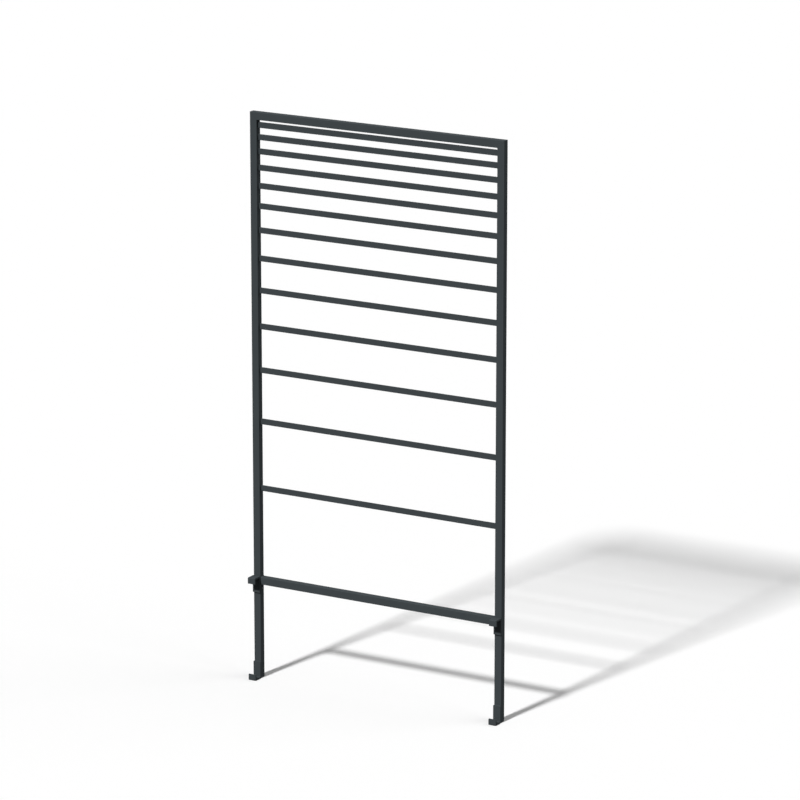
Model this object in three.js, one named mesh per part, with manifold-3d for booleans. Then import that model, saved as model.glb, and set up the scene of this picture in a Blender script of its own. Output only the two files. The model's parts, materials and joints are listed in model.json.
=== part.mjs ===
// Garden screen that clips onto the wall of a plant box.
//
// Two upright posts and a top rail of rectangular tube, mitred together, carry a ladder of thin
// flat slats whose spacing opens out towards the bottom. A bottom rail ties the posts together at
// the height of the plant box's rim. Each post has a J-shaped foot at the ground, which takes the
// box wall's lower edge, and the same bracket upside down as a hook over the wall's upper edge.
//
// Millimetres, +Z up. The origin is on the ground, in the middle of the screen's width and depth.
// The brackets point to -Y, which is the front.

import * as THREE from 'three';
import { mergeVertices } from 'three/addons/utils/BufferGeometryUtils.js';
import Module from 'manifold-3d';

const wasm = await Module();
wasm.setup();

// ---------------------------------------------------------------- driving dimensions

// Screen
const screenWidth = 700;
const screenHeight = 1432.5;

// Tube of the posts and rails: its face is what shows from the front
const tubeFace = 19;
const tubeDepth = 17;
const tubeWall = 1.5;
const tubeOuterRadius = 1;
const tubeInnerRadius = 0.5;

// Slats, counted from the top
const slatHeight = 14.5;
const slatThickness = 3;
const slatEdgeRadius = 0.4;
const slatInset = 3; // how far a slat's end reaches into its post
const firstSlatDrop = 32.1; // from the top of the screen to the middle of the first slat
const firstPitch = 30;
const pitchStep = 5;
const growthInSteps = [1, 1, 1, 1, 2, 2, 2, 2, 4, 4, 8]; // how each next pitch grows

// J-shaped bracket of flat bar, used as foot and, upside down, as hook
const bracketWidth = 20;
const bracketThickness = 4;
const bracketReach = 27; // from the post's front to the front of the lip
const lipHeight = 15.5;
const legHeight = 43;
const bracketOuterRadius = 2;
const bracketInnerRadius = 1;
const bracketEdgeRadius = 0.5;

// Plant box wall, from the seat in the foot to the seat under the hook
const wallHeight = 257.8;
const railOverSeat = 1; // the bottom rail's top lies this far over the seat under the hook

// Plug in the lower end of each post
const plugHeadThickness = 2;
const plugHeadInset = 0.2; // the head's outline lies this far inside the tube's
const plugStemWall = 1.6;
const plugStemInset = 1.2; // from the tube's bore to the stem
const plugFinThickness = 0.9;
const plugFinPitch = 3.5;
const plugFinCount = 4;

// Clearances
const slotClearance = 0.3; // round a slat in its slot
const mitreGap = 0.3; // between post and top rail, filled by the weld
const plugClearance = 0.3; // between the plug's fins and the tube's bore

// ---------------------------------------------------------------- places that follow

const postX = (screenWidth - tubeFace) / 2;
const screenDepth = tubeDepth + bracketReach;
const tubeY = (screenDepth - tubeDepth) / 2;
const postFrontY = tubeY - tubeDepth / 2;
const postBottomZ = plugHeadThickness;
const hookSeatZ = bracketThickness + wallHeight;
const hookTopZ = hookSeatZ + bracketThickness;
const bottomRailZ = hookSeatZ + railOverSeat - tubeFace / 2;
const railLength = screenWidth - 2 * tubeFace;
const boreFace = tubeFace - 2 * tubeWall;
const boreDepth = tubeDepth - 2 * tubeWall;

// Middle heights of the slats, top one first
function slatHeights() {
  let z = screenHeight - firstSlatDrop;
  let pitch = firstPitch;
  const heights = [z];
  for (const steps of [0, ...growthInSteps]) {
    pitch += steps * pitchStep;
    z -= pitch;
    heights.push(z);
  }
  return heights;
}

const slatZ = slatHeights();

// ---------------------------------------------------------------- outlines

const arcDivisions = 2; // points on a quarter arc are twice this

// Closed outline through square corners [u, v, radius], each rounded by its own arc
function squareCornerOutline(corners, Target = THREE.Shape) {
  const outline = new Target();
  corners.forEach(([u, v, radius], i) => {
    const corner = new THREE.Vector2(u, v);
    const before = corners[(i + corners.length - 1) % corners.length];
    const after = corners[(i + 1) % corners.length];
    const inward = corner.clone().sub(new THREE.Vector2(before[0], before[1])).normalize();
    const outward = new THREE.Vector2(after[0], after[1]).sub(corner).normalize();
    const start = corner.clone().addScaledVector(inward, -radius);
    const end = corner.clone().addScaledVector(outward, radius);
    if (i === 0) {
      outline.moveTo(start.x, start.y);
    } else {
      outline.lineTo(start.x, start.y);
    }
    if (radius > 0) {
      const centre = start.clone().addScaledVector(outward, radius);
      const startAngle = Math.atan2(start.y - centre.y, start.x - centre.x);
      const endAngle = Math.atan2(end.y - centre.y, end.x - centre.x);
      const turnsRight = inward.cross(outward) < 0;
      outline.absarc(centre.x, centre.y, radius, startAngle, endAngle, turnsRight);
    }
  });
  outline.closePath();
  return outline;
}

// Rectangle about the origin with rounded corners
function roundedRectangle(width, height, radius, Target) {
  const u = width / 2;
  const v = height / 2;
  const corners = [[u, v], [-u, v], [-u, -v], [u, -v]];
  return squareCornerOutline(corners.map((corner) => [...corner, radius]), Target);
}

// Ring-shaped section between an outer and an inner rectangle
function hollowRectangle(width, height, radius, wall, innerRadius) {
  const section = roundedRectangle(width, height, radius);
  section.holes.push(roundedRectangle(width - 2 * wall, height - 2 * wall, innerRadius, THREE.Path));
  return section;
}

// ---------------------------------------------------------------- solids

const extrusion = { bevelEnabled: false, steps: 1, curveSegments: arcDivisions };

// Section drawn in X and Y, run up from z = 0
function runUp(section, length) {
  return new THREE.ExtrudeGeometry(section, { ...extrusion, depth: length });
}

// Section drawn in Y and Z, run sideways about x = 0
const layAlongX = new THREE.Matrix4().set(0, 0, 1, 0, 1, 0, 0, 0, 0, 1, 0, 0, 0, 0, 0, 1);

function runAcross(section, length) {
  const geometry = new THREE.ExtrudeGeometry(section, { ...extrusion, depth: length });
  return geometry.translate(0, 0, -length / 2).applyMatrix4(layAlongX);
}

function toSolid(geometry) {
  const bare = geometry.index ? geometry.toNonIndexed() : geometry.clone();
  bare.deleteAttribute('normal');
  bare.deleteAttribute('uv');
  const merged = mergeVertices(bare, 1e-4);
  return new wasm.Manifold(new wasm.Mesh({
    numProp: 3,
    vertProperties: new Float32Array(merged.attributes.position.array),
    triVerts: new Uint32Array(merged.index.array),
  }));
}

function toGeometry(solid) {
  const { numProp, vertProperties, triVerts } = solid.getMesh();
  const positions = new Float32Array(triVerts.length * 3);
  triVerts.forEach((vertex, i) => {
    for (let axis = 0; axis < 3; axis += 1) {
      positions[i * 3 + axis] = vertProperties[vertex * numProp + axis];
    }
  });
  const geometry = new THREE.BufferGeometry();
  geometry.setAttribute('position', new THREE.BufferAttribute(positions, 3));
  geometry.computeVertexNormals();
  return geometry;
}

// Block that fills one half of the space about a mitre plane, which rises outwards through the
// corner (x, z) at 45 degrees. half is 1 for the half above the plane and -1 for the one below.
function mitreBlock(side, half, x, z) {
  const size = 4 * (tubeFace + tubeDepth);
  const block = new THREE.BoxGeometry(size, size, size);
  block.translate(0, 0, (size - mitreGap) / 2);
  const upAndInward = -side * Math.PI / 4;
  block.rotateY(half > 0 ? upAndInward : upAndInward + Math.PI);
  return block.translate(x, 0, z);
}

// ---------------------------------------------------------------- materials

function coated(name) {
  return new THREE.MeshStandardMaterial({ name, color: 0x3e4446, roughness: 0.75, metalness: 0 });
}

function plastic(name) {
  return new THREE.MeshStandardMaterial({ name, color: 0x17191a, roughness: 0.7, metalness: 0 });
}

function piece(name, geometry, material) {
  const mesh = new THREE.Mesh(geometry, material);
  mesh.name = name;
  return mesh;
}

// ---------------------------------------------------------------- posts and rails

function tubeSection(width, height) {
  return hollowRectangle(width, height, tubeOuterRadius, tubeWall, tubeInnerRadius);
}

const tubeSectionUp = tubeSection(tubeFace, tubeDepth);
const tubeSectionAcross = tubeSection(tubeDepth, tubeFace);

// side is -1 for the left post and 1 for the right one
function makePost(side, name) {
  const length = screenHeight - postBottomZ;
  let post = toSolid(runUp(tubeSectionUp, length).translate(0, 0, postBottomZ));
  post = post.subtract(toSolid(mitreBlock(side, 1, side * tubeFace / 2, screenHeight)));

  // One slot in the inner wall for each slat
  for (const z of slatZ) {
    const slot = new THREE.BoxGeometry(
      2 * tubeWall,
      slatThickness + 2 * slotClearance,
      slatHeight + 2 * slotClearance,
    );
    slot.translate(-side * tubeFace / 2, 0, z);
    post = post.subtract(toSolid(slot));
  }

  const mesh = piece(name, toGeometry(post), coated(name));
  mesh.position.x = side * postX;
  return mesh;
}

function makeTopRail() {
  let rail = toSolid(runAcross(tubeSectionAcross, screenWidth));
  for (const side of [-1, 1]) {
    rail = rail.subtract(toSolid(mitreBlock(side, -1, side * screenWidth / 2, tubeFace / 2)));
  }
  const mesh = piece('top_rail', toGeometry(rail), coated('top_rail'));
  mesh.position.z = screenHeight - tubeFace / 2;
  return mesh;
}

function makeBottomRail() {
  const mesh = piece('bottom_rail', runAcross(tubeSectionAcross, railLength), coated('bottom_rail'));
  mesh.position.z = bottomRailZ;
  return mesh;
}

// ---------------------------------------------------------------- slats

function makeSlats() {
  const section = roundedRectangle(slatThickness, slatHeight, slatEdgeRadius);
  const length = railLength + 2 * slatInset;
  return slatZ.map((z, i) => {
    const name = `slat_${String(i + 1).padStart(2, '0')}`;
    const slat = piece(name, runAcross(section, length), coated(name));
    slat.position.z = z;
    return slat;
  });
}

// ---------------------------------------------------------------- brackets

// Side outline of the bracket as a foot: v = 0 on the ground and u = 0 on the post's front
function bracketOutline() {
  const inner = bracketThickness;
  return squareCornerOutline([
    [0, 0, bracketOuterRadius],
    [0, legHeight, bracketEdgeRadius],
    [-inner, legHeight, bracketEdgeRadius],
    [-inner, inner, bracketInnerRadius],
    [-bracketReach + inner, inner, bracketInnerRadius],
    [-bracketReach + inner, lipHeight, bracketEdgeRadius],
    [-bracketReach, lipHeight, bracketEdgeRadius],
    [-bracketReach, 0, bracketOuterRadius],
  ]);
}

function makeBracket(name, side) {
  const bracket = piece(name, runAcross(bracketOutline(), bracketWidth), coated(name));
  bracket.position.set(side * postX, postFrontY, 0);
  return bracket;
}

function makeHook(name, side) {
  const hook = makeBracket(name, side);
  hook.position.z = hookTopZ;
  hook.rotation.y = Math.PI;
  return hook;
}

// ---------------------------------------------------------------- plugs

// Plastic plug: a flat head under the tube and a hollow stem with fins inside it
function makePlug(name, side) {
  const headRadius = Math.max(tubeOuterRadius - plugHeadInset, plugHeadInset);
  const headFace = tubeFace - 2 * plugHeadInset;
  const headDepth = tubeDepth - 2 * plugHeadInset;
  const headSection = roundedRectangle(headFace, headDepth, headRadius);
  let plug = toSolid(runUp(headSection, plugHeadThickness));

  const stemFace = boreFace - 2 * plugStemInset;
  const stemDepth = boreDepth - 2 * plugStemInset;
  const stemLength = plugFinPitch * (plugFinCount + 0.5);
  const stemRadius = tubeInnerRadius;
  const stemSection = hollowRectangle(stemFace, stemDepth, stemRadius, plugStemWall, stemRadius);
  const sunk = plugHeadThickness / 2;
  const stem = runUp(stemSection, stemLength + sunk).translate(0, 0, plugHeadThickness - sunk);
  plug = plug.add(toSolid(stem));

  const finFace = boreFace - 2 * plugClearance;
  const finDepth = boreDepth - 2 * plugClearance;
  const finSection = roundedRectangle(finFace, finDepth, tubeInnerRadius);
  const overlap = plugStemWall / 2;
  const bore = [stemFace - 2 * overlap, stemDepth - 2 * overlap];
  finSection.holes.push(roundedRectangle(bore[0], bore[1], tubeInnerRadius, THREE.Path));
  for (let i = 1; i <= plugFinCount; i += 1) {
    const fin = runUp(finSection, plugFinThickness);
    plug = plug.add(toSolid(fin.translate(0, 0, plugHeadThickness + i * plugFinPitch)));
  }

  const mesh = piece(name, toGeometry(plug), plastic(name));
  mesh.position.x = side * postX;
  return mesh;
}

// ---------------------------------------------------------------- assembly

const frame = new THREE.Group();
frame.position.y = tubeY;
frame.add(makePost(-1, 'post_left'), makePost(1, 'post_right'));
frame.add(makeTopRail(), makeBottomRail());
frame.add(...makeSlats());
frame.add(makePlug('plug_left', -1), makePlug('plug_right', 1));

const brackets = new THREE.Group();
brackets.add(makeBracket('foot_left', -1), makeBracket('foot_right', 1));
brackets.add(makeHook('hook_left', -1), makeHook('hook_right', 1));

const screen = new THREE.Group();
screen.add(frame, brackets);

export default screen;
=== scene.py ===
"""Finish of a garden screen for plant boxes: powder coat, welds, end plugs and a white studio."""

import json
import math

import bmesh
import bpy
import numpy as np
from bpy.props import FloatProperty, FloatVectorProperty, PointerProperty
from bpy.types import Operator, Panel, PropertyGroup
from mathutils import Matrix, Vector

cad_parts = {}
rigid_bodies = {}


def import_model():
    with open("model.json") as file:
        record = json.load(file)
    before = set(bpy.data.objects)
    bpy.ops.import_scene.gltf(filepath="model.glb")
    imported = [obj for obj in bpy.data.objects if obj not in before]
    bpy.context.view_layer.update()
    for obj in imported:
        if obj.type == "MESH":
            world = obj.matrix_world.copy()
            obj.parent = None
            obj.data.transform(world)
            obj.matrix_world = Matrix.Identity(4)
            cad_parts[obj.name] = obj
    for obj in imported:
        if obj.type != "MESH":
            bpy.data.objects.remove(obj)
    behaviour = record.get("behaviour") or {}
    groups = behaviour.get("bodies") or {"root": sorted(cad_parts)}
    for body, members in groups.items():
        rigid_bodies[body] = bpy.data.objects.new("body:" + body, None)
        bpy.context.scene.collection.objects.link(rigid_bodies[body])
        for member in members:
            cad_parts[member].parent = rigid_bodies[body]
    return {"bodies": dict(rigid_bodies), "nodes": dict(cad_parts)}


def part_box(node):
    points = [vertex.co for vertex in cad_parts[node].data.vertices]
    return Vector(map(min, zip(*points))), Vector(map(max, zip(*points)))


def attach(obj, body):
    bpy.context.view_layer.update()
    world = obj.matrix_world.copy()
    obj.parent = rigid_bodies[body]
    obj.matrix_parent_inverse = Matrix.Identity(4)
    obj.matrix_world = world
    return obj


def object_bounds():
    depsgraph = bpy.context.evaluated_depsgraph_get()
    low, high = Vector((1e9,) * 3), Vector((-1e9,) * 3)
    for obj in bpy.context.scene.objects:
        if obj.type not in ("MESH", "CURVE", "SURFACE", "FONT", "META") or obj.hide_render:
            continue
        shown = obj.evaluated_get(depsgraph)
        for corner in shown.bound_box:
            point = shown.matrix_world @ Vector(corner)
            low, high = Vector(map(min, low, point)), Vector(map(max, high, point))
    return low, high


bl_info = {
    "name": "Garden Screen",
    "version": (1, 0, 0),
    "blender": (4, 5, 0),
    "location": "View3D > Sidebar > Garden Screen",
    "description": "Coats, welds and stages a ladder screen that clips onto a plant box",
    "category": "Add Mesh",
}

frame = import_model()
cad_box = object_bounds()

MM = 0.001
SIDES = {"left": -1, "right": 1}
BODY = next(iter(frame["bodies"]))

X = Vector((1, 0, 0))
Y = Vector((0, 1, 0))
Z = Vector((0, 0, 1))


# ---------------------------------------------------------------- sizes read from the frame

def size_of(node):
    low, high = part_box(node)
    return high - low


def middle_of(node):
    low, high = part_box(node)
    return (low + high) / 2


POST_LOW, POST_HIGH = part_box("post_left")
TUBE_FACE = POST_HIGH.x - POST_LOW.x
TUBE_DEPTH = POST_HIGH.y - POST_LOW.y
POST_FRONT = POST_LOW.y
SCREEN_TOP = cad_box[1].z
SLATS = sorted(name for name in frame["nodes"] if name.startswith("slat_"))
POSTS = ["post_left", "post_right"]
RAILS = ["top_rail", "bottom_rail"]
BRACKETS = ["foot_left", "foot_right", "hook_left", "hook_right"]
PLUGS = ["plug_left", "plug_right"]


def inner_face(side):
    """X of the post's face that looks to the middle of the screen."""
    low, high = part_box("post_" + side)
    return high.x if side == "left" else low.x


# ---------------------------------------------------------------- settings

class ScreenCoat(PropertyGroup):
    colour: FloatVectorProperty(
        name="Colour", description="Powder coat's colour", subtype="COLOR",
        size=3, min=0, max=1, default=(0.0550, 0.0645, 0.0695))
    roughness: FloatProperty(
        name="Roughness", description="Mean roughness of the matt coat",
        min=0, max=1, default=0.75)
    tone_change: FloatProperty(
        name="Tone change",
        description="Share by which tone and roughness drift where the powder lies thicker",
        min=0, max=0.5, default=0.05)
    cloud_size: FloatProperty(
        name="Cloud size", description="Size of the slow drifts in tone",
        subtype="DISTANCE", unit="LENGTH", default=0.05)
    grain_size: FloatProperty(
        name="Grain size", description="Size of the fine texture's grains",
        subtype="DISTANCE", unit="LENGTH", default=0.0006)
    grain_depth: FloatProperty(
        name="Grain depth", description="Height of the fine texture's grains",
        subtype="DISTANCE", unit="LENGTH", default=0.00005)
    plug_colour: FloatVectorProperty(
        name="Plug colour", description="Colour of the moulded end plugs", subtype="COLOR",
        size=3, min=0, max=1, default=(0.010, 0.0105, 0.011))


class ScreenWelds(PropertyGroup):
    slat_leg: FloatProperty(
        name="Slat fillet", description="Leg of the fillet weld round a slat's end",
        subtype="DISTANCE", unit="LENGTH", default=0.8 * MM)
    rail_leg: FloatProperty(
        name="Rail fillet",
        description="Leg of the fillet welds at the bottom rail and inside the top corners",
        subtype="DISTANCE", unit="LENGTH", default=1.5 * MM)
    bracket_leg: FloatProperty(
        name="Bracket fillet", description="Leg of the fillet weld at the end of a bracket's leg",
        subtype="DISTANCE", unit="LENGTH", default=1.8 * MM)
    seam_width: FloatProperty(
        name="Seam width", description="Width of the ground seam between flush faces",
        subtype="DISTANCE", unit="LENGTH", default=2.4 * MM)
    seam_crown: FloatProperty(
        name="Seam crown", description="Height that a ground seam keeps over the faces",
        subtype="DISTANCE", unit="LENGTH", default=0.08 * MM)
    ripple: FloatProperty(
        name="Ripple", description="Share by which a bead swells at each ripple",
        min=0, max=0.5, default=0.07)
    ripple_pitch: FloatProperty(
        name="Ripple pitch", description="Distance between two ripples of a bead",
        subtype="DISTANCE", unit="LENGTH", default=1.4 * MM)


class ScreenStudio(PropertyGroup):
    floor_bounce: FloatProperty(
        name="Floor bounce",
        description="Share of its light that the floor throws back at the object",
        min=0, max=1, default=0.12)
    key_share: FloatProperty(
        name="Key light", description="Share of the floor's light that comes from the key lamp",
        min=0, default=0.69)
    key_size: FloatProperty(
        name="Key light size", description="Angle that the key lamp fills, which softens shadows",
        subtype="ANGLE", unit="ROTATION", default=math.radians(5.3))
    key_azimuth: FloatProperty(
        name="Key light side", description="Turn of the key lamp from straight ahead to the right",
        subtype="ANGLE", unit="ROTATION", default=math.radians(-7.3))
    key_elevation: FloatProperty(
        name="Key light height", description="Angle of the key lamp over the floor",
        subtype="ANGLE", unit="ROTATION", default=math.radians(43.27))
    side_share: FloatProperty(
        name="Side light", description="Share of the floor's light that comes from the side lamp",
        min=0, default=0.17)
    side_size: FloatProperty(
        name="Side light size", description="Angle that the side lamp fills",
        subtype="ANGLE", unit="ROTATION", default=math.radians(55))
    side_azimuth: FloatProperty(
        name="Side light side",
        description="Turn of the side lamp from straight ahead to the right",
        subtype="ANGLE", unit="ROTATION", default=math.radians(104))
    side_elevation: FloatProperty(
        name="Side light height", description="Angle of the side lamp over the floor",
        subtype="ANGLE", unit="ROTATION", default=math.radians(38))
    sky_share: FloatProperty(
        name="Sky", description="Share of the floor's light that comes evenly from all round",
        min=0, default=0.14)
    camera_azimuth: FloatProperty(
        name="Camera side", description="Turn of the camera from straight ahead to the right",
        subtype="ANGLE", unit="ROTATION", default=math.radians(30.131))
    camera_elevation: FloatProperty(
        name="Camera height", description="Angle of the camera over the floor",
        subtype="ANGLE", unit="ROTATION", default=math.radians(14.939))
    camera_distance: FloatProperty(
        name="Camera distance", description="From the camera to the point that it looks at",
        subtype="DISTANCE", unit="LENGTH", default=10.825)
    camera_target: FloatVectorProperty(
        name="Camera target", description="Point that the camera looks at",
        subtype="XYZ", unit="LENGTH", size=3, default=(0.063575, 0.01337, 0.7669))
    focal_length: FloatProperty(
        name="Focal length", description="Focal length in millimetres on a 36 mm wide film",
        min=1, default=202.74)


# ---------------------------------------------------------------- shader building

CLOUD_PART = 0.75  # part of the clouds in the drift of tone, the rest being the grains'
COAT_SPECULAR = 0.025  # the matt coat shows almost nothing of the white round it

PLUG_SPECULAR = 0.3
PLUG_ROUGHNESS = 0.5
PLUG_CLOUD_SIZE = 4 * MM
PLUG_GRAIN_SIZE = 0.25 * MM
PLUG_GRAIN_DEPTH = 0.02 * MM


def link(tree, source, target):
    tree.links.new(source, target)


def node(tree, kind, **values):
    made = tree.nodes.new(kind)
    for name, value in values.items():
        setattr(made, name, value)
    return made


def build_surface_group():
    """Fine-textured surface as a node group: slow clouds of tone, fine grains, and their height."""
    name = "Fine-textured surface"
    if name in bpy.data.node_groups:
        return bpy.data.node_groups[name]
    tree = bpy.data.node_groups.new(name, "ShaderNodeTree")
    sockets = tree.interface
    sockets.new_socket("Colour", in_out="INPUT", socket_type="NodeSocketColor")
    for label in ("Tone Change", "Cloud Scale", "Grain Scale", "Roughness", "Roughness Change"):
        sockets.new_socket(label, in_out="INPUT", socket_type="NodeSocketFloat")
    sockets.new_socket("Colour", in_out="OUTPUT", socket_type="NodeSocketColor")
    for label in ("Roughness", "Height"):
        sockets.new_socket(label, in_out="OUTPUT", socket_type="NodeSocketFloat")

    inputs = node(tree, "NodeGroupInput").outputs
    outputs = node(tree, "NodeGroupOutput").inputs
    place = node(tree, "ShaderNodeTexCoord").outputs["Object"]

    clouds = node(tree, "ShaderNodeTexNoise")
    clouds.inputs["Detail"].default_value = 3
    link(tree, place, clouds.inputs["Vector"])
    link(tree, inputs["Cloud Scale"], clouds.inputs["Scale"])

    grains = node(tree, "ShaderNodeTexNoise")
    grains.inputs["Detail"].default_value = 2
    grains.inputs["Roughness"].default_value = 0.6
    link(tree, place, grains.inputs["Vector"])
    link(tree, inputs["Grain Scale"], grains.inputs["Scale"])

    # Noise lies mostly between 0.25 and 0.75, so the swing runs from about -1 to 1
    mixed = node(tree, "ShaderNodeMath", operation="MULTIPLY_ADD")
    mixed.inputs[1].default_value = 1 - CLOUD_PART
    link(tree, grains.outputs["Fac"], mixed.inputs[0])
    share = node(tree, "ShaderNodeMath", operation="MULTIPLY")
    share.inputs[1].default_value = CLOUD_PART
    link(tree, clouds.outputs["Fac"], share.inputs[0])
    link(tree, share.outputs[0], mixed.inputs[2])
    swing = node(tree, "ShaderNodeMath", operation="MULTIPLY_ADD")
    swing.inputs[1].default_value = 4
    swing.inputs[2].default_value = -2
    link(tree, mixed.outputs[0], swing.inputs[0])

    # Tone is 1 + swing times its change, and roughness is its mean + swing times its change
    tone = node(tree, "ShaderNodeMath", operation="MULTIPLY_ADD")
    tone.inputs[2].default_value = 1
    link(tree, swing.outputs[0], tone.inputs[0])
    link(tree, inputs["Tone Change"], tone.inputs[1])
    tinted = node(tree, "ShaderNodeVectorMath", operation="SCALE")
    link(tree, inputs["Colour"], tinted.inputs[0])
    link(tree, tone.outputs[0], tinted.inputs["Scale"])
    link(tree, tinted.outputs[0], outputs["Colour"])

    rough = node(tree, "ShaderNodeMath", operation="MULTIPLY_ADD")
    link(tree, swing.outputs[0], rough.inputs[0])
    link(tree, inputs["Roughness Change"], rough.inputs[1])
    link(tree, inputs["Roughness"], rough.inputs[2])
    link(tree, rough.outputs[0], outputs["Roughness"])
    link(tree, grains.outputs["Fac"], outputs["Height"])
    return tree


def textured_material(name, colour, specular, roughness, cloud_size, grain_size, grain_depth):
    """Material with the fine-textured surface. The sizes and the depth are in metres."""
    if name in bpy.data.materials:
        return bpy.data.materials[name]
    change = bpy.context.scene.screen_coat.tone_change
    material = bpy.data.materials.new(name)
    material.use_nodes = True
    tree = material.node_tree
    shader = tree.nodes["Principled BSDF"]
    shader.inputs["Specular IOR Level"].default_value = specular

    surface = node(tree, "ShaderNodeGroup", node_tree=build_surface_group())
    surface.inputs["Colour"].default_value = (*colour, 1)
    surface.inputs["Tone Change"].default_value = change
    surface.inputs["Cloud Scale"].default_value = 1 / cloud_size
    surface.inputs["Grain Scale"].default_value = 1 / grain_size
    surface.inputs["Roughness"].default_value = roughness
    surface.inputs["Roughness Change"].default_value = change
    link(tree, surface.outputs["Colour"], shader.inputs["Base Color"])
    link(tree, surface.outputs["Roughness"], shader.inputs["Roughness"])

    bump = node(tree, "ShaderNodeBump")
    bump.inputs["Strength"].default_value = 1
    bump.inputs["Distance"].default_value = grain_depth
    link(tree, surface.outputs["Height"], bump.inputs["Height"])
    link(tree, bump.outputs["Normal"], shader.inputs["Normal"])
    return material


def coat_material(name, tone=1.0, grain=1.0):
    """Powder coat for one kind of piece. tone scales its colour and grain its texture's depth."""
    coat = bpy.context.scene.screen_coat
    colour = [tone * part for part in coat.colour]
    return textured_material(name, colour, COAT_SPECULAR, coat.roughness,
                             coat.cloud_size, coat.grain_size, grain * coat.grain_depth)


def plug_material():
    """Black moulded plastic with a spark-eroded surface."""
    colour = bpy.context.scene.screen_coat.plug_colour
    return textured_material("Moulded plug", colour, PLUG_SPECULAR, PLUG_ROUGHNESS,
                             PLUG_CLOUD_SIZE, PLUG_GRAIN_SIZE, PLUG_GRAIN_DEPTH)


# ---------------------------------------------------------------- finishing the CAD nodes

SMOOTH_LIMIT = math.radians(40)  # facets that meet at a smaller angle belong to one arc
SAME_PLACE = 0.001 * MM  # vertices nearer than this are one corner
TINY = 1e-12


def round_over(mesh):
    """Blends the shading across the facets of an arc, and keeps the real edges crisp."""
    facets = mesh.polygons
    facing = [np.array(facet.normal) for facet in facets]
    places = [tuple(np.round(np.array(vertex.co) / SAME_PLACE)) for vertex in mesh.vertices]
    meeting = {}
    for facet in facets:
        for vertex in facet.vertices:
            meeting.setdefault(places[vertex], []).append(facet.index)

    normals = np.zeros((len(mesh.loops), 3))
    for facet in facets:
        for vertex, loop in zip(facet.vertices, facet.loop_indices):
            total = np.zeros(3)
            for number in meeting[places[vertex]]:
                if facing[number] @ facing[facet.index] > math.cos(SMOOTH_LIMIT):
                    total += facing[number] * facets[number].area
            normals[loop] = total / max(np.linalg.norm(total), TINY)
    mesh.shade_smooth()
    mesh.normals_split_custom_set(normals.tolist())


def finish_nodes(names, material):
    for name in names:
        piece = frame["nodes"][name]
        piece.data.materials.clear()
        piece.data.materials.append(material)
        round_over(piece.data)


# ---------------------------------------------------------------- weld beads

def bead_mesh(name, runs):
    """One mesh from several beads. A run is (rings of points, closed): the skin joins ring to ring."""
    points = []
    faces = []
    for rings, closed in runs:
        first = len(points)
        count = len(rings[0])
        for ring in rings:
            points.extend(tuple(point) for point in ring)
        steps = len(rings) if closed else len(rings) - 1
        for i in range(steps):
            here = first + i * count
            there = first + (i + 1) % len(rings) * count
            for k in range(count):
                after = (k + 1) % count
                faces.append((here + k, here + after, there + after, there + k))
        if not closed:
            last = first + (len(rings) - 1) * count
            faces.append(tuple(first + k for k in reversed(range(count))))
            faces.append(tuple(last + k for k in range(count)))
    mesh = bpy.data.meshes.new(name)
    mesh.from_pydata(points, [], faces)
    mesh.validate()
    mesh.update()
    piece = bpy.data.objects.new(name, mesh)
    bpy.context.scene.collection.objects.link(piece)
    return piece


def face_outwards(mesh):
    """Turns a closed mesh's faces outwards."""
    shape = bmesh.new()
    shape.from_mesh(mesh)
    bmesh.ops.recalc_face_normals(shape, faces=shape.faces)
    shape.to_mesh(mesh)
    shape.free()


WELD_TONE = 0.97  # the coat's tone over a weld
WELD_GRAIN = 0.6  # depth of the coat's grains over a weld, as a share of their depth elsewhere


def add_welds(name, runs):
    piece = bead_mesh(name, runs)
    face_outwards(piece.data)
    piece.data.shade_smooth()
    piece.data.materials.append(coat_material("Coated weld", WELD_TONE, WELD_GRAIN))
    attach(piece, BODY)


# ---------------------------------------------------------------- sections and runs of the beads

ARC_STEPS = 6  # steps of the curve across a bead
CORNER_STEPS = 4  # steps of a bead round a tube's or slat's corner
STEPS_PER_RIPPLE = 4
SINK = 0.15 * MM  # how far a bead's edges reach into the faces that it joins
ROOT = 3 * SINK  # how far a bead's root reaches into them
END_SIZE = 0.55  # a straight bead's size at its two ends

TUBE_RADIUS = 1 * MM  # outer radius of the tube's corners
SLAT_RADIUS = 0.4 * MM  # radius of a slat's edges

FILLET_CROWN = 0.084  # how far a bead bulges along each face, as a share of its leg
HOLLOW = 0.35  # lift of a fillet's curve as a share of its leg: 0.5 is a straight slope
ROUND = 0.5  # the same over a mitre's outer corner: at 0.5 the curve just meets the corner
CORNER_REACH = 0.7 * MM  # how far the weld over a mitre's outer corner reaches down both faces

OVERLAP_ON_BAR = 0.9 * MM  # how far the bead at a bracket's edge reaches forward onto the bar
OVERLAP_ON_TUBE = 2.3 * MM  # how far it reaches back onto the tube's side
OVERLAP_CROWN = 0.3 * MM
END_MARGIN = 1.2 * MM  # what a bracket's beads leave free at their ends
BEND_MARGIN = 3 * MM  # what they leave free at the bracket's bend


def fillet_profile(leg):
    """Section of a slightly crowned fillet, as (away along one face, away along the other)."""
    arc = []
    for i in range(ARC_STEPS + 1):
        turn = i / ARC_STEPS
        crown = FILLET_CROWN * leg * math.sin(math.pi * turn)
        arc.append((leg * (1 - turn) + crown - SINK * (turn == 1),
                    leg * turn + crown - SINK * (turn == 0)))
    return [(-SINK, -SINK), *arc]


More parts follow.
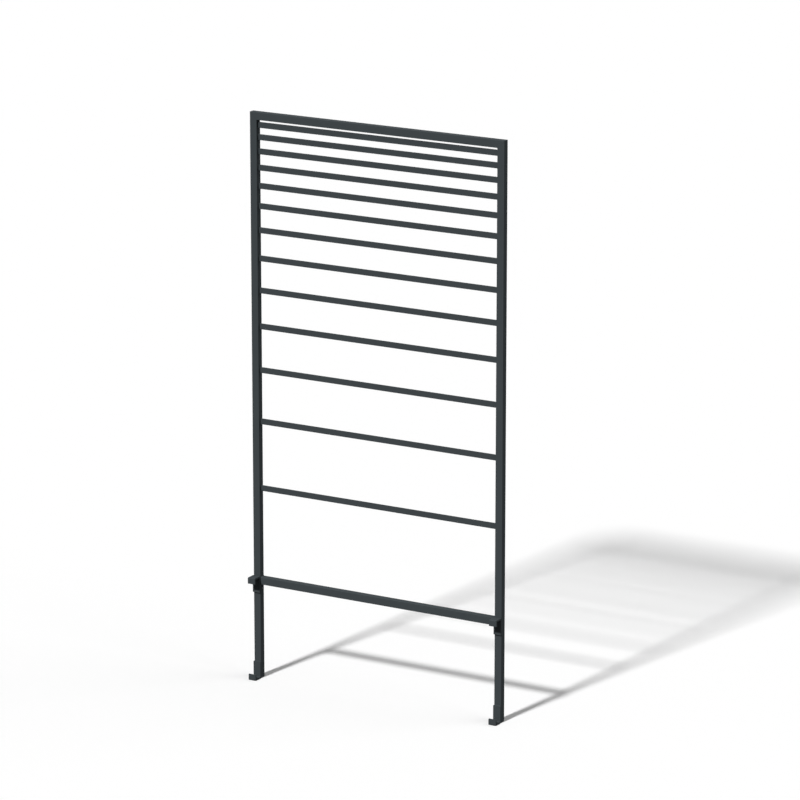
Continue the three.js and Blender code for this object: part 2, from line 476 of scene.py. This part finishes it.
def overlap_profile(step):
    """Section of the bead that runs from a bracket's edge down onto the narrower tube behind it.

    Its measures are back from the post's front face and out from the post's side face. step is
    how far the bracket stands out past the tube.
    """
    arc = []
    for i in range(ARC_STEPS + 1):
        turn = i / ARC_STEPS
        sunk = SINK * (turn in (0, 1))
        arc.append((OVERLAP_ON_TUBE - (OVERLAP_ON_TUBE + OVERLAP_ON_BAR) * turn,
                    step * turn + OVERLAP_CROWN * math.sin(math.pi * turn) - sunk))
    return [(-OVERLAP_ON_BAR, -SINK), (OVERLAP_ON_TUBE, -ROOT), *arc]


def swell(distance):
    """Size of a bead at a distance along it, as its ripples rise and fall."""
    welds = bpy.context.scene.screen_welds
    return 1 + welds.ripple * math.sin(2 * math.pi * distance / welds.ripple_pitch)


def straight_run(start, end, first, second, profile):
    """Bead along a line. first and second are the directions of the profile's two measures."""
    pitch = bpy.context.scene.screen_welds.ripple_pitch
    length = (end - start).length
    steps = max(STEPS_PER_RIPPLE, round(STEPS_PER_RIPPLE * length / pitch))
    rings = []
    for i in range(steps + 1):
        centre = start.lerp(end, i / steps)
        size = swell(length * i / steps) * (END_SIZE if i in (0, steps) else 1)
        rings.append([centre + first * u * size + second * v * size for u, v in profile])
    return rings, False


def rounded_path(half_u, half_v, radius, spacing):
    """Points and outward directions round a rectangle with rounded corners."""
    flat_u = half_u - radius
    flat_v = half_v - radius
    corners = [(flat_u, flat_v), (-flat_u, flat_v), (-flat_u, -flat_v), (flat_u, -flat_v)]
    path = []
    for quarter, (u, v) in enumerate(corners):
        for i in range(CORNER_STEPS + 1):
            angle = math.pi / 2 * (quarter + i / CORNER_STEPS)
            outward = (math.cos(angle), math.sin(angle))
            path.append(((u + radius * outward[0], v + radius * outward[1]), outward))
        after = corners[(quarter + 1) % len(corners)]
        length = math.dist(after, (u, v))
        start, outward = path[-1]
        along = ((after[0] - u) / length, (after[1] - v) / length)
        steps = round(length / spacing)
        for i in range(1, steps):
            step = length * i / steps
            path.append(((start[0] + along[0] * step, start[1] + along[1] * step), outward))
    return path


def walk_round(half_u, half_v, radius):
    """Points round a rectangle with their outward directions and the bead's swell at each."""
    spacing = bpy.context.scene.screen_welds.ripple_pitch / STEPS_PER_RIPPLE
    travelled = 0
    before = None
    for here, outward in rounded_path(half_u, half_v, radius, spacing):
        if before:
            travelled += math.dist(here, before)
        before = here
        yield here, outward, swell(travelled)


def slat_run(face_x, away, slat):
    """Fillet all round a slat's end. away is the X direction from the post along the slat."""
    centre = middle_of(slat)
    section = size_of(slat)
    fillet = fillet_profile(bpy.context.scene.screen_welds.slat_leg)
    rings = []
    for (back, up), outward, size in walk_round(section.y / 2, section.z / 2, SLAT_RADIUS):
        corner = Vector((face_x, centre.y + back, centre.z + up))
        out = Vector((0, *outward))
        rings.append([corner + out * a * size + away * b * size for a, b in fillet])
    return rings, True


def bridge(corner, rail_end, post_end, rail_out, post_out, lift):
    """Section of a weld: a curve from a point on the rail past the corner to one on the post."""
    peak = corner + (rail_out + post_out) * lift
    curve = []
    for i in range(ARC_STEPS + 1):
        share = i / ARC_STEPS
        curve.append(rail_end.lerp(peak, share).lerp(peak.lerp(post_end, share), share))
    curve[0] -= rail_out * SINK
    curve[-1] -= post_out * SINK
    root = corner - (rail_out + post_out).normalized() * ROOT
    return [*curve, root]


def rail_run(face_x, away, centre):
    """Weld all round the bottom rail's end: a fillet over and under it, ground seams on its sides.

    steep and level are the parts of the outward direction along Z and along Y.
    """
    welds = bpy.context.scene.screen_welds
    seam = welds.seam_width / 2
    rings = []
    for (up, back), (steep, level), size in walk_round(TUBE_FACE / 2, TUBE_DEPTH / 2, TUBE_RADIUS):
        leg = welds.rail_leg * size
        corner = Vector((face_x, centre.y + back, centre.z + up))
        # The post's inner edge is rounded as the rail's corners are, and the weld follows it
        onto_post = TUBE_RADIUS * (1 - abs(steep)) + (seam - TUBE_RADIUS) * abs(level)
        rail_end = corner + away * (leg * steep ** 2 + seam * level ** 2)
        post_end = corner + Z * leg * steep - away * onto_post
        lift = HOLLOW * leg * steep ** 2 + welds.seam_crown * level ** 2
        rail_out = Vector((0, level, steep))
        post_out = away * abs(steep) + Y * level
        rings.append(bridge(corner, rail_end, post_end, rail_out, post_out, lift))
    return rings, True


def mitre_run(sign, centre):
    """Weld all round a mitre: a fillet inside it, ground seams on its faces and a rounded corner.

    steep and level are the parts of the outward direction across the faces and along Y.
    """
    welds = bpy.context.scene.screen_welds
    seam = welds.seam_width / math.sqrt(2)  # along the tubes, which the seam crosses at 45 degrees
    rings = []
    for (out, back), (steep, level), size in walk_round(TUBE_FACE / 2, TUBE_DEPTH / 2, TUBE_RADIUS):
        leg, share = (CORNER_REACH, ROUND) if steep > 0 else (welds.rail_leg * size, HOLLOW)
        lift = share * leg * steep ** 2 + welds.seam_crown * level ** 2
        reach = leg * steep ** 2 + seam * level ** 2
        corner = centre + Vector((sign * out, back, out))
        rail_end = corner - X * sign * reach
        post_end = corner - Z * reach
        rail_out = Vector((0, level, steep))
        post_out = Vector((sign * steep, level, 0))
        rings.append(bridge(corner, rail_end, post_end, rail_out, post_out, lift))
    return rings, True


def bracket_runs(name):
    """Fillet at the end of a bracket's leg, and a bead along each of the leg's edges."""
    low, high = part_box(name)
    post_low, post_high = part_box("post_" + name.split("_")[1])
    up = Z if name.startswith("foot") else -Z
    free_end = high.z if up.z > 0 else low.z
    turned_end = low.z if up.z > 0 else high.z
    fillet = fillet_profile(bpy.context.scene.screen_welds.bracket_leg)
    overlap = overlap_profile(high.x - post_high.x)

    start = Vector((post_low.x + END_MARGIN, POST_FRONT, free_end))
    end = Vector((post_high.x - END_MARGIN, POST_FRONT, free_end))
    runs = [straight_run(start, end, -Y, up, fillet)]
    for x, out in ((post_low.x, -X), (post_high.x, X)):
        start = Vector((x, POST_FRONT, turned_end)) + up * BEND_MARGIN
        end = Vector((x, POST_FRONT, free_end)) - up * END_MARGIN
        runs.append(straight_run(start, end, Y, out, overlap))
    return runs


# ---------------------------------------------------------------- operators

class SCREEN_OT_coat_frame(Operator):
    """Gives the posts and rails their powder coat"""
    bl_idname = "garden_screen.coat_frame"
    bl_label = "Coat Posts and Rails"

    def execute(self, context):
        finish_nodes(POSTS + RAILS, coat_material("Coated tube"))
        return {"FINISHED"}


class SCREEN_OT_coat_slats(Operator):
    """Gives the flat slats their powder coat"""
    bl_idname = "garden_screen.coat_slats"
    bl_label = "Coat Slats"

    def execute(self, context):
        finish_nodes(SLATS, coat_material("Coated flat bar"))
        return {"FINISHED"}


class SCREEN_OT_coat_brackets(Operator):
    """Gives the hooks and feet their powder coat"""
    bl_idname = "garden_screen.coat_brackets"
    bl_label = "Coat Hooks and Feet"

    def execute(self, context):
        finish_nodes(BRACKETS, coat_material("Coated bracket"))
        return {"FINISHED"}


class SCREEN_OT_finish_plugs(Operator):
    """Gives the end plugs their moulded plastic"""
    bl_idname = "garden_screen.finish_plugs"
    bl_label = "Finish End Plugs"

    def execute(self, context):
        finish_nodes(PLUGS, plug_material())
        return {"FINISHED"}


class SCREEN_OT_weld_slats(Operator):
    """Adds the small fillet welds round the slats' ends"""
    bl_idname = "garden_screen.weld_slats"
    bl_label = "Weld Slats"

    def execute(self, context):
        for side, sign in SIDES.items():
            runs = [slat_run(inner_face(side), -sign * X, slat) for slat in SLATS]
            add_welds("welds_slats_" + side, runs)
        return {"FINISHED"}


class SCREEN_OT_weld_rails(Operator):
    """Adds the welds at the bottom rail's ends and at the top corners"""
    bl_idname = "garden_screen.weld_rails"
    bl_label = "Weld Rails"

    def execute(self, context):
        for side, sign in SIDES.items():
            run = rail_run(inner_face(side), -sign * X, middle_of("bottom_rail"))
            add_welds("welds_bottom_rail_" + side, [run])

            post = middle_of("post_" + side)
            mitre = Vector((post.x, post.y, SCREEN_TOP - TUBE_FACE / 2))
            add_welds("welds_top_corner_" + side, [mitre_run(sign, mitre)])
        return {"FINISHED"}


class SCREEN_OT_weld_brackets(Operator):
    """Adds the welds that hold the hooks and feet to the posts"""
    bl_idname = "garden_screen.weld_brackets"
    bl_label = "Weld Hooks and Feet"

    def execute(self, context):
        for name in BRACKETS:
            add_welds("welds_" + name, bracket_runs(name))
        return {"FINISHED"}


class SCREEN_OT_set_stage(Operator):
    """Sets the white floor, the lamps and the camera"""
    bl_idname = "garden_screen.set_stage"
    bl_label = "Set Stage"

    def execute(self, context):
        studio = context.scene.screen_studio
        make_floor(studio)
        make_lights(context.scene, studio)
        make_camera(context.scene, studio)
        context.scene.view_settings.view_transform = "Standard"
        return {"FINISHED"}


# ---------------------------------------------------------------- stage

FLOOR_HALF = 60.0  # half the floor's width, in metres
VIEW_DEPTH = 4 * FLOOR_HALF
FILM_WIDTH = 36  # in millimetres, as the focal length is
WHITE = (1, 1, 1, 1)


def make_floor(studio):
    """Wide floor that the camera sees as white paper, and that throws less light back."""
    corners = [(-FLOOR_HALF, -FLOOR_HALF, 0), (FLOOR_HALF, -FLOOR_HALF, 0),
               (FLOOR_HALF, FLOOR_HALF, 0), (-FLOOR_HALF, FLOOR_HALF, 0)]
    mesh = bpy.data.meshes.new("floor")
    mesh.from_pydata(corners, [], [(0, 1, 2, 3)])
    floor = bpy.data.objects.new("floor", mesh)
    bpy.context.scene.collection.objects.link(floor)

    material = bpy.data.materials.new("White floor")
    material.use_nodes = True
    tree = material.node_tree
    shader = tree.nodes["Principled BSDF"]
    shader.inputs["Roughness"].default_value = 1
    shader.inputs["Specular IOR Level"].default_value = 0
    colour = node(tree, "ShaderNodeMix", data_type="RGBA")
    colour.inputs["A"].default_value = (studio.floor_bounce,) * 3 + (1,)
    colour.inputs["B"].default_value = WHITE
    link(tree, seen_by_eye(tree), colour.inputs["Factor"])
    link(tree, colour.outputs["Result"], shader.inputs["Base Color"])
    mesh.materials.append(material)


def seen_by_eye(tree):
    """1 for what the camera sees, directly or in a reflection or through glass."""
    rays = node(tree, "ShaderNodeLightPath").outputs
    either = node(tree, "ShaderNodeMath", operation="MAXIMUM")
    link(tree, rays["Is Camera Ray"], either.inputs[0])
    link(tree, rays["Is Glossy Ray"], either.inputs[1])
    seen = node(tree, "ShaderNodeMath", operation="MAXIMUM")
    link(tree, either.outputs[0], seen.inputs[0])
    link(tree, rays["Is Transmission Ray"], seen.inputs[1])
    return seen.outputs[0]


def make_lamp(scene, name, share, size, azimuth, elevation):
    """Far lamp that gives its share of the light on the floor."""
    lamp = bpy.data.lights.new(name, "SUN")
    lamp.energy = share * math.pi / math.sin(elevation)
    lamp.angle = size
    lamp_object = bpy.data.objects.new(name, lamp)
    lamp_object.rotation_euler = (math.pi / 2 - elevation, 0, azimuth)
    scene.collection.objects.link(lamp_object)


def make_lights(scene, studio):
    """Key lamp in front, a weaker broad lamp at the right, and an even white sky."""
    make_lamp(scene, "key_light", studio.key_share, studio.key_size,
              studio.key_azimuth, studio.key_elevation)
    make_lamp(scene, "side_light", studio.side_share, studio.side_size,
              studio.side_azimuth, studio.side_elevation)

    world = bpy.data.worlds.new("White sky")
    world.use_nodes = True
    tree = world.node_tree
    sky = tree.nodes["Background"]
    sky.inputs["Color"].default_value = WHITE
    strength = node(tree, "ShaderNodeMix", data_type="FLOAT")
    strength.inputs["A"].default_value = studio.sky_share
    strength.inputs["B"].default_value = 1
    link(tree, seen_by_eye(tree), strength.inputs["Factor"])
    link(tree, strength.outputs["Result"], sky.inputs["Strength"])
    scene.world = world


def make_camera(scene, studio):
    """Camera at the front right, a little above, looking down at the screen."""
    lens = bpy.data.cameras.new("camera")
    lens.sensor_width = FILM_WIDTH
    lens.lens = studio.focal_length
    lens.clip_end = VIEW_DEPTH
    camera = bpy.data.objects.new("camera", lens)
    level = math.cos(studio.camera_elevation)
    back = Vector((math.sin(studio.camera_azimuth) * level,
                   -math.cos(studio.camera_azimuth) * level,
                   math.sin(studio.camera_elevation)))
    camera.location = Vector(studio.camera_target) + back * studio.camera_distance
    camera.rotation_euler = (math.pi / 2 - studio.camera_elevation, 0, studio.camera_azimuth)
    scene.collection.objects.link(camera)
    scene.camera = camera


# ---------------------------------------------------------------- sidebar and registration

OPERATORS = (
    SCREEN_OT_coat_frame,
    SCREEN_OT_coat_slats,
    SCREEN_OT_coat_brackets,
    SCREEN_OT_finish_plugs,
    SCREEN_OT_weld_slats,
    SCREEN_OT_weld_rails,
    SCREEN_OT_weld_brackets,
    SCREEN_OT_set_stage,
)

SETTINGS = {
    "screen_coat": ScreenCoat,
    "screen_welds": ScreenWelds,
    "screen_studio": ScreenStudio,
}


class SCREEN_PT_sidebar(Panel):
    """Lists the steps that finish the garden screen"""
    bl_idname = "SCREEN_PT_sidebar"
    bl_label = "Garden Screen"
    bl_space_type = "VIEW_3D"
    bl_region_type = "UI"
    bl_category = "Garden Screen"

    def draw(self, context):
        for step in OPERATORS:
            self.layout.operator(step.bl_idname)
        for settings, group in SETTINGS.items():
            box = self.layout.box()
            for name in group.__annotations__:
                box.prop(getattr(context.scene, settings), name)


CLASSES = (*SETTINGS.values(), *OPERATORS, SCREEN_PT_sidebar)


def register():
    for kind in CLASSES:
        bpy.utils.register_class(kind)
    for name, group in SETTINGS.items():
        setattr(bpy.types.Scene, name, PointerProperty(type=group))


def unregister():
    for name in SETTINGS:
        delattr(bpy.types.Scene, name)
    for kind in reversed(CLASSES):
        bpy.utils.unregister_class(kind)


def main():
    register()
    for step in OPERATORS:
        group, name = step.bl_idname.split(".")
        getattr(getattr(bpy.ops, group), name)()


if __name__ == "__main__":
    main()
